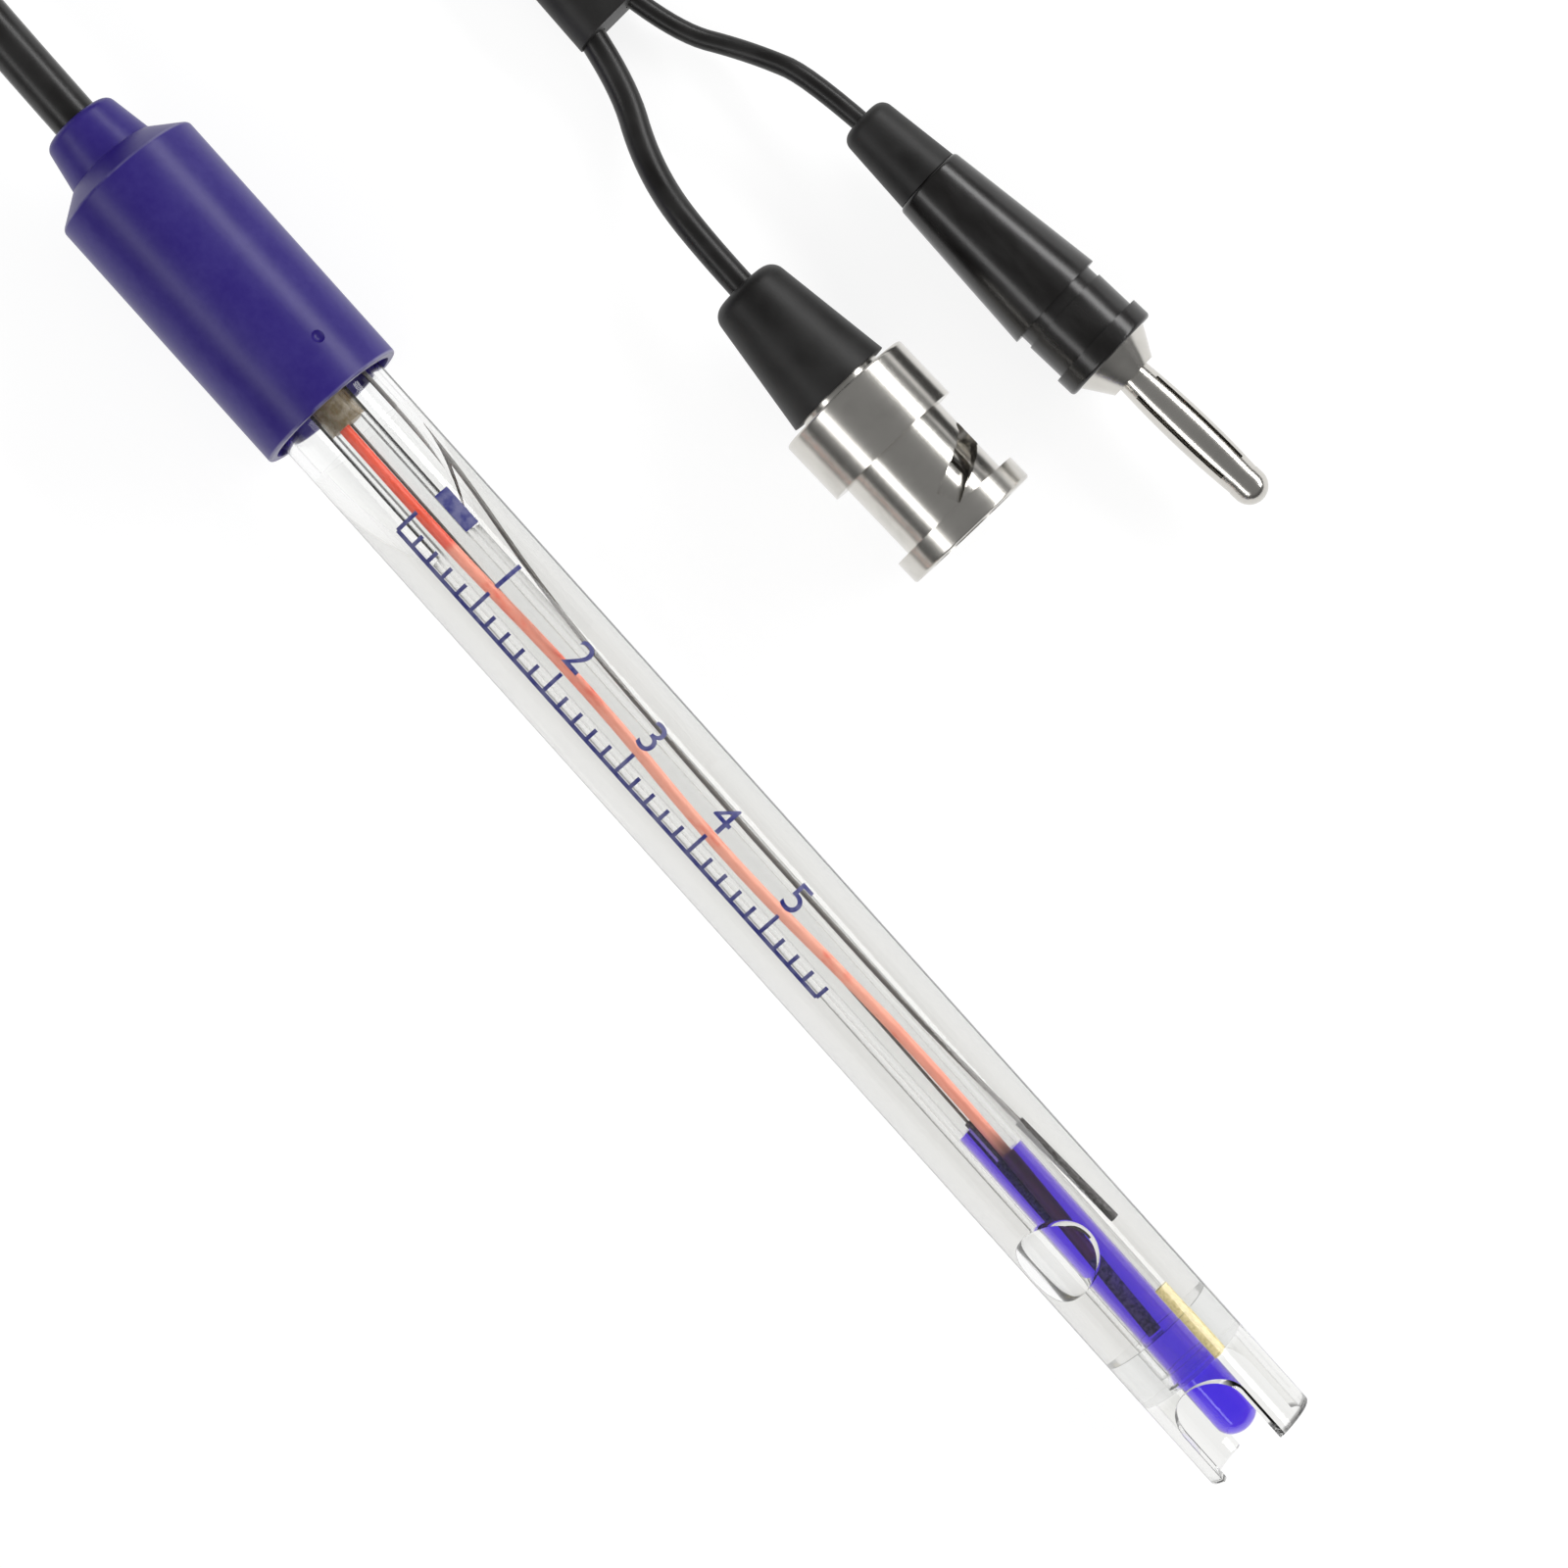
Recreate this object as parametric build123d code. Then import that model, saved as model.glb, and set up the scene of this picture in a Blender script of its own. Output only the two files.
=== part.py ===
from build123d import *
import os
from math import atan, cos, degrees, pi, radians, sin, sqrt, tan

# A combined glass pH electrode that lies on its side, with its cable, a bayonet plug and a banana plug.
# Millimetres. The electrode is modelled along its own axis: x is 0 at the cap's lower rim and grows
# towards the tip, y is to the side and z is up. Each plug has an axis of its own, with x 0 at its tail.

# Body tube and the guard round its tip
tube_d = 12.0
tube_wall = 1.0
tube_reach = 130.2
tube_in_cap = 18.0
guard_slot_w = 7.1
guard_slot_depth = 9.0
guard_slot_turn = 19.4
guard_lip = 0.25

# Head cap
cap_d = 15.6
cap_wall = 0.9
cap_rim_round = 0.27
cap_body_len = 28.7
shoulder_len = 2.1
neck_base_d = 9.4
neck_end_d = 7.6
neck_len = 4.9
neck_round = 0.9
shoulder_round = 0.5
neck_step = 0.15
cap_cavity_len = 24.5
recess_depth = 4.0
gate_mark_d = 1.3
gate_mark_depth = 0.35
gate_mark_x = 5.0
gate_mark_turn = 26.5

# Glass stem, membrane and what closes them
stem_d = 4.5
stem_wall = 0.6
stem_in_cap = 14.0
membrane_len = 8.9
membrane_wall = 0.35
membrane_dome = 1.9
membrane_taper = 1.0
membrane_setback = 1.8
top_bung_len = 10.0
top_bung_setback = 2.0
stem_bung_reach = 2.3
stem_bung_len = 12.0
end_seal_len = 5.0
end_seal_setback = 0.5

# Wires, sensor and inner buffer
sensor_lead_d = 1.1
inner_wire_d = 0.35
inner_tip_d = 0.8
inner_tip_len = 12.0
inner_wire_setback = 30.0
sensor_d = 1.1
sensor_len = 9.0
sensor_end_gap = 12.7
buffer_top = 93.9
buffer_tongue_len = 4.2
buffer_tongue_side = -0.7
buffer_slant = 12.0
buffer_slant_start = 0.4
wire_start_gap = 1.0

# Reference gel, wire and junction
gel_surface = 17.4
gel_climb = 13.2
gel_film = 0.3
gel_mid_share = 0.55
gel_mid_depth = 1.0
bubble_r = 3.9
bubble_x = 104.4
bubble_side = -2.7
bubble_up = 3.2
reference_wire_d = 0.45
reference_tip_d = 0.85
reference_tip_len = 12.8
reference_wire_setback = 23.4
junction_d = 1.3
junction_len = 8.4
junction_turn = 42.0
junction_proud = 0.3

# Cable, leads and splitter
cable_d = 4.6
coax_d = 2.8
thin_lead_d = 2.0
coil_x = -138.0
coil_y = 30.0
coil_outer_turn_d = 64.6
coil_inner_turn_d = 36.4
coil_layers = 2
coil_looseness = 0.4
splitter_x = -57.5
splitter_y = 44.3
splitter_heading = 3.2
splitter_len = 17.0
splitter_tail_d = 6.4
splitter_tail_w = 6.6
splitter_head_w = 9.0
splitter_head_h = 5.8
splitter_grip = 5.0
splitter_round = 0.8
lead_grip = 4.0
lead_side = 2.1

# Bayonet plug
bnc_x = -30.2
bnc_y = 36.0
bnc_heading = 1.7
bnc_boot_len = 13.2
bnc_boot_tail_d = 7.6
bnc_boot_head_d = 11.2
bnc_boot_round = 1.6
bnc_lead_in = 6.5
bnc_stub_d = 5.4
bnc_neck_d = 9.2
bnc_flange_d = 11.4
bnc_flange_len = 1.2
bnc_shell_d = 8.1
bnc_shell_bore = 6.9
bnc_shell_len = 10.4
bnc_shell_slot = 0.5
bnc_shell_slot_len = 6.5
sleeve_d = 14.5
sleeve_gap = 0.6
sleeve_barrel_d = 11.8
sleeve_bore = 9.9
sleeve_chamber_d = 12.2
sleeve_rim_len = 2.5
sleeve_overhang = 1.4
sleeve_grip_past = 0.9
sleeve_round = 0.3
bayonet_slot_w = 2.3
bayonet_slot_sweep = 75.0
bayonet_slot_rise = 3.2
bayonet_steps = 5
bayonet_strip_share = 1.2
bayonet_seat_d = 2.8
bayonet_entry_depth = 0.7
ring_len = 1.5
washer_len = 0.5
spring_len = 2.6
spring_strip = 0.3
spring_waves = 3
running_gap = 0.06
cut_margin = 0.5
insulator_nose_d = 4.8
insulator_base_len = 2.2
insulator_nose_len = 6.6
gasket_len = 1.4
pin_d = 1.35
pin_tail_d = 2.0
pin_reach = 1.6

# Banana plug
banana_x = -34.6
banana_y = 55.1
banana_heading = 4.7
banana_boot_len = 8.5
banana_boot_tail_d = 5.4
banana_boot_head_d = 6.9
banana_boot_round = 1.2
banana_lead_in = 5.0
banana_handle_len = 16.5
banana_handle_tail_d = 7.4
banana_handle_head_d = 10.4
banana_handle_round = 0.5
banana_groove_d = 9.0
banana_groove_len = 1.3
banana_collar_d = 9.4
banana_collar_len = 4.0
banana_flange_len = 2.1
banana_flange_round = 0.4
banana_cone_len = 2.8
banana_cone_d = 8.4
banana_stem_d = 5.0
banana_pin_len = 16.8
banana_core_d = 2.7
banana_tip_d = 3.6
banana_tip_len = 2.6
contact_d = 4.0
contact_end_d = 3.5
contact_wall = 0.3
contact_slots = 4
contact_slot_w = 0.5
contact_slot_margin = 1.6
contact_collar_len = 0.8

# Sizes that follow from those above
tube_r = tube_d / 2
tube_bore_r = tube_r - tube_wall
cap_r = cap_d / 2
stem_r = stem_d / 2
stem_bore_r = stem_r - stem_wall
cable_r = cable_d / 2
slot_start = tube_reach - guard_slot_depth
membrane_tip = tube_reach - membrane_setback
membrane_start = membrane_tip - membrane_len
end_seal_face = slot_start - end_seal_setback
end_seal_back = end_seal_face - end_seal_len
cap_len = cap_body_len + shoulder_len + neck_len
sensor_end = membrane_tip - sensor_end_gap
cable_end_x = -cap_cavity_len + wire_start_gap
bnc_neck_len = sleeve_gap + ring_len + washer_len + spring_len


def turned(*outline):
    # A solid turned about the x axis from an outline of (x, radius) points
    return revolve(make_face(Polyline(*outline, close=True)), Axis.X)


def rod(x_from, x_to, radius):
    return turned((x_from, 0), (x_to, 0), (x_to, radius), (x_from, radius))


def rings(shape, x, radius):
    # The round edges of a shape at one place along the x axis
    def wanted(edge):
        centre = edge.arc_center
        return abs(centre.X - x) < 0.01 and abs(edge.radius - radius) < 0.01

    return [edge for edge in shape.edges().filter_by(GeomType.CIRCLE) if wanted(edge)]


def corner_radii(points):
    # Each corner's arc takes 0.45 of the shorter run beside it
    radii = []
    for before, corner, after in zip(points, points[1:], points[2:]):
        run_in = Vector(*corner) - Vector(*before)
        run_out = Vector(*after) - Vector(*corner)
        half_turn = radians(run_in.get_angle(run_out)) / 2
        radii.append(0.45 * min(run_in.length, run_out.length) / tan(half_turn))
    return radii


def tube_along(points, diameter):
    path = FilletPolyline(*points, radius=corner_radii(points))
    return sweep(Plane(origin=path @ 0, z_dir=path % 0) * Circle(diameter / 2), path=path)


def turned_about_x(shape, degrees_round):
    return Rot(degrees_round, 0, 0) * shape


# Electrode body tube: one clear moulding, cut through by a round-ended slot that leaves two guard arms
def make_body_tube():
    wall = turned(
        (-tube_in_cap, tube_bore_r),
        (tube_reach, tube_bore_r),
        (tube_reach, tube_r),
        (-tube_in_cap, tube_r),
    )
    lips = rings(wall, tube_reach, tube_r) + rings(wall, tube_reach, tube_bore_r)
    wall = fillet(lips, guard_lip)
    slot_r = guard_slot_w / 2
    flat = Pos(slot_start + slot_r, 0) * Circle(slot_r)
    flat += Pos(slot_start + slot_r + tube_reach / 2, 0) * Rectangle(tube_reach, guard_slot_w)
    cutter = extrude(flat, tube_d, both=True)
    return wall - turned_about_x(cutter, guard_slot_turn)


# Head cap: a hollow moulding with a chamfered shoulder, a tapered neck and the mark of its mould gate
def make_head_cap():
    shoulder_x = -cap_body_len
    neck_x = shoulder_x - shoulder_len
    end_x = neck_x - neck_len
    outside = turned(
        (0, 0),
        (0, cap_r),
        (shoulder_x, cap_r),
        (neck_x, neck_base_d / 2 + neck_step),
        (neck_x, neck_base_d / 2),
        (end_x, neck_end_d / 2),
        (end_x, 0),
    )
    outside = fillet(rings(outside, shoulder_x, cap_r), shoulder_round)
    outside = fillet(rings(outside, end_x, neck_end_d / 2), neck_round)
    outside = fillet(rings(outside, 0, cap_r), cap_rim_round)
    cavity = rod(-cap_cavity_len, 0, cap_r - cap_wall)
    passage = rod(end_x, -cap_cavity_len, cable_r + running_gap)
    mark_r = (gate_mark_d**2 / 4 + gate_mark_depth**2) / (2 * gate_mark_depth)
    mark = Pos(-gate_mark_x, 0, cap_r + mark_r - gate_mark_depth) * Sphere(mark_r)
    return outside - cavity - passage - turned_about_x(mark, -gate_mark_turn)


def make_stem():
    return turned(
        (-stem_in_cap, stem_bore_r),
        (membrane_start, stem_bore_r),
        (membrane_start, stem_r),
        (-stem_in_cap, stem_r),
    )


def dome_outline(radius, tip, height):
    # From the axis at the tip, round an elliptic dome, to the straight wall
    return EllipticalCenterArc((tip - height, 0), height, radius, start_angle=0, arc_size=90)


def domed_rod(x_from, tip, radius, height):
    dome = dome_outline(radius, tip, height)
    sides = Polyline((tip - height, radius), (x_from, radius), (x_from, 0), (tip, 0))
    return revolve(make_face(Wire([*dome.edges(), *sides.edges()])), Axis.X)


def make_membrane():
    inner_r = stem_r - membrane_wall
    outside = domed_rod(membrane_start, membrane_tip, stem_r, membrane_dome)
    inner_tip = membrane_tip - membrane_wall
    taper_end = membrane_start + membrane_taper
    neck = turned(
        (membrane_start, 0),
        (membrane_start, stem_bore_r),
        (taper_end, inner_r),
        (taper_end, 0),
    )
    inside = domed_rod(taper_end, inner_tip, inner_r, membrane_dome - membrane_wall)
    return outside - (neck + inside), neck + inside


# Inner buffer: fills the membrane and the stem up to a slanting surface with a tongue along one side
def make_buffer(bulb_space, inner_pieces):
    tongue_x = buffer_top - buffer_tongue_len
    column = rod(tongue_x, membrane_start, stem_bore_r)
    block = Box(2 * stem_d, 2 * stem_d, 2 * stem_d)
    column = column - Pos(buffer_top - stem_d, buffer_tongue_side + stem_d) * block
    slanted = Rot(0, 0, buffer_slant) * Pos(-stem_d, 0) * block
    column = column - Pos(tongue_x + buffer_slant_start, -stem_bore_r) * slanted
    liquid = column + bulb_space
    for piece in inner_pieces:
        liquid = liquid - piece
    return liquid


# Reference gel: fills the tube between the air space and the end seal, and climbs the wall above
def make_gel(pieces_in_gel):
    top_x = gel_surface - gel_climb
    film_r = tube_bore_r - gel_film
    mid = (top_x + gel_climb * gel_mid_share, tube_bore_r - gel_mid_depth)
    surface = Spline((top_x, film_r), mid, (gel_surface, stem_r))
    rest = Polyline(
        (gel_surface, stem_r),
        (end_seal_back, stem_r),
        (end_seal_back, tube_bore_r),
        (top_x, tube_bore_r),
        (top_x, film_r),
    )
    gel = revolve(make_face(Wire([*surface.edges(), *rest.edges()])), Axis.X)
    gel = gel - Pos(bubble_x, bubble_side, bubble_up) * Sphere(bubble_r)
    for piece in pieces_in_gel:
        gel = gel - piece
    return gel


# Points of the wires, chosen by hand along the electrode: x, y, z
sensor_lead_route = [
    (cable_end_x, -0.4, 0.42),
    (1.5, -0.5, 0.45),
    (17.0, -0.55, 0.4),
    (36.0, 0.15, 0.5),
    (56.0, -0.7, 0.45),
    (76.0, 0.35, 0.45),
    (90.0, 0.45, 0.38),
    (sensor_end - sensor_len, -0.1, 0.3),
]
inner_wire_route = [
    (cable_end_x, 0.25, -0.85),
    (19.0, 0.2, -0.8),
    (56.0, -0.2, -0.78),
    (membrane_start - inner_wire_setback, -0.5, -0.6),
]
reference_wire_route = [
    (cable_end_x, 1.5, 0.2),
    (-12.5, 4.15, 0.5),
    (9.5, 4.45, 0.5),
    (27.0, 2.7, 2.45),
    (52.0, 2.15, 2.95),
    (78.0, 2.3, 2.85),
    (end_seal_back - reference_wire_setback, 2.85, 2.35),
]


def straight_on(route, length, diameter):
    # A straight rod that carries on from the end of a route
    last, before = Vector(*route[-1]), Vector(*route[-2])
    direction = (last - before).normalized()
    return Plane(origin=last, z_dir=direction) * Pos(0, 0, length / 2) * Cylinder(diameter / 2, length)


body_tube = make_body_tube()
head_cap = make_head_cap()
glass_stem = make_stem()
glass_membrane, bulb_space = make_membrane()

sensor_lead = tube_along(sensor_lead_route, sensor_lead_d)
temperature_sensor = straight_on(sensor_lead_route, sensor_len, sensor_d)
inner_wire = tube_along(inner_wire_route, inner_wire_d)
inner_wire_tip = straight_on(inner_wire_route, inner_tip_len, inner_tip_d)
reference_wire = tube_along(reference_wire_route, reference_wire_d)
reference_wire_tip = straight_on(reference_wire_route, reference_tip_len, reference_tip_d)

junction_end = end_seal_face + junction_proud
junction_offset = (stem_r + tube_bore_r) / 2
junction = rod(junction_end - junction_len, junction_end, junction_d / 2)
junction_pin = turned_about_x(Pos(0, 0, junction_offset) * junction, -junction_turn)

inner_buffer = make_buffer(bulb_space, [sensor_lead, temperature_sensor, inner_wire, inner_wire_tip])
reference_gel = make_gel([reference_wire, reference_wire_tip, junction_pin])


def ring(x_from, x_to, inner_r, outer_r):
    return turned((x_from, inner_r), (x_to, inner_r), (x_to, outer_r), (x_from, outer_r))


end_seal = ring(end_seal_back, end_seal_face, stem_r, tube_bore_r) - junction_pin
top_bung_face = -top_bung_setback
top_bung_back = top_bung_face - top_bung_len
top_bung = ring(top_bung_back, top_bung_face, stem_r, tube_bore_r) - reference_wire
stem_bung = rod(stem_bung_reach - stem_bung_len, stem_bung_reach, stem_bore_r) - sensor_lead - inner_wire

potting_outline = [
    (-cap_cavity_len, 0),
    (-cap_cavity_len, cap_r - cap_wall),
    (-recess_depth, cap_r - cap_wall),
    (-recess_depth, tube_r),
    (-tube_in_cap, tube_r),
    (-tube_in_cap, tube_bore_r),
    (top_bung_back, tube_bore_r),
    (top_bung_back, stem_r),
    (-stem_in_cap, stem_r),
    (-stem_in_cap, stem_bore_r),
    (stem_bung_reach - stem_bung_len, stem_bore_r),
    (stem_bung_reach - stem_bung_len, 0),
]
cable_stub = rod(-cap_cavity_len, cable_end_x, cable_r)
cap_potting = turned(*potting_outline) - cable_stub - sensor_lead - inner_wire - reference_wire

electrode = {
    "body_tube": body_tube,
    "head_cap": head_cap,
    "cap_potting": cap_potting,
    "glass_stem": glass_stem,
    "glass_membrane": glass_membrane,
    "top_bung": top_bung,
    "stem_bung": stem_bung,
    "end_seal": end_seal,
    "junction_pin": junction_pin,
    "reference_gel": reference_gel,
    "reference_wire": reference_wire,
    "reference_wire_tip": reference_wire_tip,
    "inner_buffer": inner_buffer,
    "inner_wire": inner_wire,
    "inner_wire_tip": inner_wire_tip,
    "sensor_lead": sensor_lead,
    "temperature_sensor": temperature_sensor,
}

# The electrode lies on the cap's rim and on the tube beside the guard slot, so its tip is a little lower.
# Straight down, the slot's round end starts beyond slot_start by this much.
side_of_slot = tube_r * sin(radians(guard_slot_turn))
slot_round = guard_slot_w / 2
rest_x = slot_start + slot_round - sqrt(slot_round**2 - side_of_slot**2)
tip_down = degrees(atan((cap_r - tube_r) / rest_x))
lying = Pos(0, 0, cap_r * cos(radians(tip_down))) * Rot(0, tip_down, 0)
laid = {name: lying * shape for name, shape in electrode.items()}
lying_box = Compound(children=[Compound(shape.solids()) for shape in laid.values()]).bounding_box()
centre_x = (lying_box.min.X + lying_box.max.X) / 2
centre_y = (lying_box.min.Y + lying_box.max.Y) / 2
laid = {name: Pos(-centre_x, -centre_y, 0) * shape for name, shape in laid.items()}


def on_electrode(x):
    # A point of the electrode's axis, where it lies
    place = Pos(-centre_x, -centre_y, 0) * lying * Pos(x, 0, 0)
    return tuple(place.position)


# Bayonet plug
def make_bayonet_plug():
    boot_end = bnc_boot_len
    neck_end = boot_end + bnc_neck_len
    flange_end = neck_end + bnc_flange_len
    shell_end = flange_end + bnc_shell_len
    stub_start = bnc_lead_in
    neck_r = bnc_neck_d / 2
    bore_r = bnc_shell_bore / 2
    cup_floor = flange_end - bnc_flange_len

    boot = turned((0, 0), (0, bnc_boot_tail_d / 2), (boot_end, bnc_boot_head_d / 2), (boot_end, 0))
    boot = fillet(rings(boot, 0, bnc_boot_tail_d / 2), bnc_boot_round)
    boot = boot - rod(0, stub_start, coax_d / 2) - rod(stub_start, boot_end, bnc_stub_d / 2)

    body = turned(
        (stub_start, pin_tail_d / 2),
        (stub_start, bnc_stub_d / 2),
        (boot_end, bnc_stub_d / 2),
        (boot_end, neck_r),
        (neck_end, neck_r),
        (neck_end, bnc_flange_d / 2),
        (flange_end, bnc_flange_d / 2),
        (flange_end, bnc_shell_d / 2),
        (shell_end, bnc_shell_d / 2),
        (shell_end, bore_r),
        (cup_floor, bore_r),
        (cup_floor, pin_tail_d / 2),
    )
    for turn in (0, 90):
        blade = Pos(shell_end, 0) * Box(2 * bnc_shell_slot_len, bnc_shell_d + cut_margin, bnc_shell_slot)
        body = body - turned_about_x(blade, turn + 45)

    base_end = cup_floor + insulator_base_len
    nose_r = insulator_nose_d / 2
    insulator = turned(
        (cup_floor, pin_tail_d / 2),
        (cup_floor, bore_r),
        (base_end, bore_r),
        (base_end, nose_r),
        (base_end + insulator_nose_len, nose_r),
        (base_end + insulator_nose_len, pin_d / 2),
        (base_end, pin_d / 2),
        (base_end, pin_tail_d / 2),
    )
    gasket = ring(base_end, base_end + gasket_len, nose_r, bore_r)
    pin_end = base_end + insulator_nose_len + pin_reach
    pin_tail = rod(stub_start, base_end, pin_tail_d / 2)
    centre_pin = pin_tail + domed_rod(base_end, pin_end, pin_d / 2, pin_d / 2)

    ring_start = boot_end + sleeve_gap
    washer_start = ring_start + ring_len
    spring_start = washer_start + washer_len
    chamber_end = flange_end + running_gap
    grip_end = chamber_end + sleeve_grip_past
    sleeve_end = shell_end + sleeve_overhang
    retaining = ring(ring_start, washer_start, neck_r + running_gap, sleeve_chamber_d / 2)
    washer = ring(washer_start, spring_start, neck_r + running_gap, bnc_flange_d / 2)
    spring = make_wave_spring(spring_start, spring_len, neck_r + 2 * running_gap, bnc_flange_d / 2)
    sleeve = turned(
        (ring_start, sleeve_chamber_d / 2),
        (chamber_end, sleeve_chamber_d / 2),
        (chamber_end, sleeve_bore / 2),
        (sleeve_end, sleeve_bore / 2),
        (sleeve_end, sleeve_d / 2),
        (sleeve_end - sleeve_rim_len, sleeve_d / 2),
        (sleeve_end - sleeve_rim_len, sleeve_barrel_d / 2),
        (grip_end, sleeve_barrel_d / 2),
        (grip_end, sleeve_d / 2),
        (ring_start, sleeve_d / 2),
    )
    edges = rings(sleeve, sleeve_end, sleeve_d / 2) + rings(sleeve, ring_start, sleeve_d / 2)
    sleeve = fillet(edges, sleeve_round)
    for turn in (0, 180):
        sleeve = sleeve - turned_about_x(make_bayonet_cut(sleeve_end), turn)
    return {
        "bnc_boot": boot,
        "bnc_body": body,
        "bnc_insulator": insulator,
        "bnc_gasket": gasket,
        "bnc_centre_pin": centre_pin,
        "bnc_retaining_ring": retaining,
        "bnc_thrust_washer": washer,
        "bnc_wave_spring": spring,
        "bnc_sleeve": sleeve,
    }


# One bayonet slot: a groove for the lug under the rim, then a slanting slot with a wide round seat at its end
def make_bayonet_cut(sleeve_end):
    mid_r = (sleeve_bore + sleeve_barrel_d) / 4
    groove_r = sleeve_bore / 2 + bayonet_entry_depth
    entry_x = sleeve_end - sleeve_rim_len - bayonet_slot_w / 2
    groove_len = sleeve_end - entry_x + cut_margin
    cut = Pos(entry_x + groove_len / 2, 0, groove_r / 2) * Box(groove_len, bayonet_slot_w, groove_r)
    step_turn = bayonet_slot_sweep / bayonet_steps
    step_rise = bayonet_slot_rise / bayonet_steps
    step_run = mid_r * radians(step_turn)
    slope = degrees(atan(step_rise / step_run))
    height = sleeve_barrel_d - mid_r
    strip = Rot(0, 0, slope) * Box(bayonet_slot_w, bayonet_strip_share * step_run, height)
    for step in range(bayonet_steps):
        middle = Pos(entry_x - (step + 0.5) * step_rise, 0, mid_r)
        cut += turned_about_x(middle * strip, -(step + 0.5) * step_turn)
    seat = Pos(entry_x - bayonet_slot_rise, 0, mid_r) * Cylinder(bayonet_seat_d / 2, height)
    cut += turned_about_x(seat, -bayonet_slot_sweep)
    return cut


# A spring washer pressed into waves, from a flat strip's two edges that rise and fall together
def make_wave_spring(start, length, inner_r, outer_r):
    rise = (length - spring_strip) / 2

    def wave(radius, offset):
        points = []
        for step in range(8 * spring_waves):
            turn = 2 * pi * step / (8 * spring_waves)
            x = start + offset + rise * (1 + cos(spring_waves * turn))
            points.append((x, radius * cos(turn), radius * sin(turn)))
        return Edge.make_spline(points, periodic=True)

    edges = [wave(radius, offset) for radius in (inner_r, outer_r) for offset in (0, spring_strip)]
    inner_low, inner_high, outer_low, outer_high = edges
    faces = [
        Face.make_surface_from_curves(inner_low, inner_high),
        Face.make_surface_from_curves(outer_low, outer_high),
        Face.make_surface_from_curves(inner_low, outer_low),
        Face.make_surface_from_curves(inner_high, outer_high),
    ]
    return Solid(Shell(faces))


# The plug lies on its sleeve, whose grip and rim are equally wide
bnc_parts = make_bayonet_plug()
bnc_place = Pos(bnc_x, bnc_y, sleeve_d / 2) * Rot(0, 0, bnc_heading)


# Banana plug
def make_banana_plug():
    boot_end = banana_boot_len
    handle_end = boot_end + banana_handle_len
    groove_end = handle_end + banana_groove_len
    collar_end = groove_end + banana_collar_len
    flange_end = collar_end + banana_flange_len
    cone_end = flange_end + banana_cone_len
    pin_end = cone_end + banana_pin_len
    tip_start = pin_end - banana_tip_len
    stem_r = banana_stem_d / 2
    core_r = banana_core_d / 2

    boot = turned((0, 0), (0, banana_boot_tail_d / 2), (boot_end, banana_boot_head_d / 2), (boot_end, 0))
    boot = fillet(rings(boot, 0, banana_boot_tail_d / 2), banana_boot_round)
    boot = boot - rod(0, boot_end, thin_lead_d / 2)
    handle = turned(
        (boot_end, 0),
        (boot_end, banana_handle_tail_d / 2),
        (handle_end, banana_handle_head_d / 2),
        (handle_end, 0),
    )
    handle = fillet(rings(handle, boot_end, banana_handle_tail_d / 2), banana_handle_round)
    screw_start = boot_end + banana_lead_in
    handle = handle - rod(boot_end, screw_start, thin_lead_d / 2) - rod(screw_start, handle_end, stem_r)
    collar = turned(
        (handle_end, stem_r),
        (handle_end, banana_groove_d / 2),
        (groove_end, banana_groove_d / 2),
        (groove_end, banana_collar_d / 2),
        (collar_end, banana_collar_d / 2),
        (collar_end, banana_handle_head_d / 2),
        (flange_end, banana_handle_head_d / 2),
        (flange_end, stem_r),
    )
    collar = fillet(rings(collar, flange_end, banana_handle_head_d / 2), banana_flange_round)
    stem = rod(screw_start, flange_end, stem_r)
    stem += turned((flange_end, 0), (flange_end, banana_cone_d / 2), (cone_end, stem_r), (cone_end, 0))
    stem += rod(cone_end, tip_start, core_r)
    stem += domed_rod(tip_start, pin_end, banana_tip_d / 2, banana_tip_d / 2)
    contact = make_contact_spring(cone_end, tip_start, core_r)
    return {
        "banana_boot": boot,
        "banana_handle": handle,
        "banana_collar": collar,
        "banana_stem": stem,
        "banana_contact_spring": contact,
    }


# A slotted sleeve that bulges between its two ends, so that its leaves press outwards in a socket
def make_contact_spring(start, end, core_r):
    mid_x = (start + end) / 2
    mid_r = contact_d / 2
    end_r = contact_end_d / 2
    inner_r = end_r - contact_wall
    bulge = ThreePointArc((start, end_r), (mid_x, mid_r), (end, end_r))
    inside = ThreePointArc((end, inner_r), (mid_x, mid_r - contact_wall), (start, inner_r))
    closing = [Line((end, end_r), (end, inner_r)).edge(), Line((start, inner_r), (start, end_r)).edge()]
    sleeve = revolve(make_face(Wire([bulge.edge(), closing[0], inside.edge(), closing[1]])), Axis.X)
    slot_len = end - start - 2 * contact_slot_margin
    for index in range(contact_slots // 2):
        blade = Pos(mid_x, 0) * Box(slot_len, contact_d + cut_margin, contact_slot_w)
        sleeve = sleeve - turned_about_x(blade, 45 + index * 360 / contact_slots)
    for at in (start, end):
        x_from = at if at == start else end - contact_collar_len
        sleeve += ring(x_from, x_from + contact_collar_len, core_r, end_r - contact_wall / 2)
    return sleeve


# The plug lies on the wide end of its handle and on its flange, which are equally wide
banana_parts = make_banana_plug()
banana_place = Pos(banana_x, banana_y, banana_handle_head_d / 2) * Rot(0, 0, banana_heading)


def on_plug(place, x):
    return tuple((place * Pos(x, 0, 0)).position)


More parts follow.
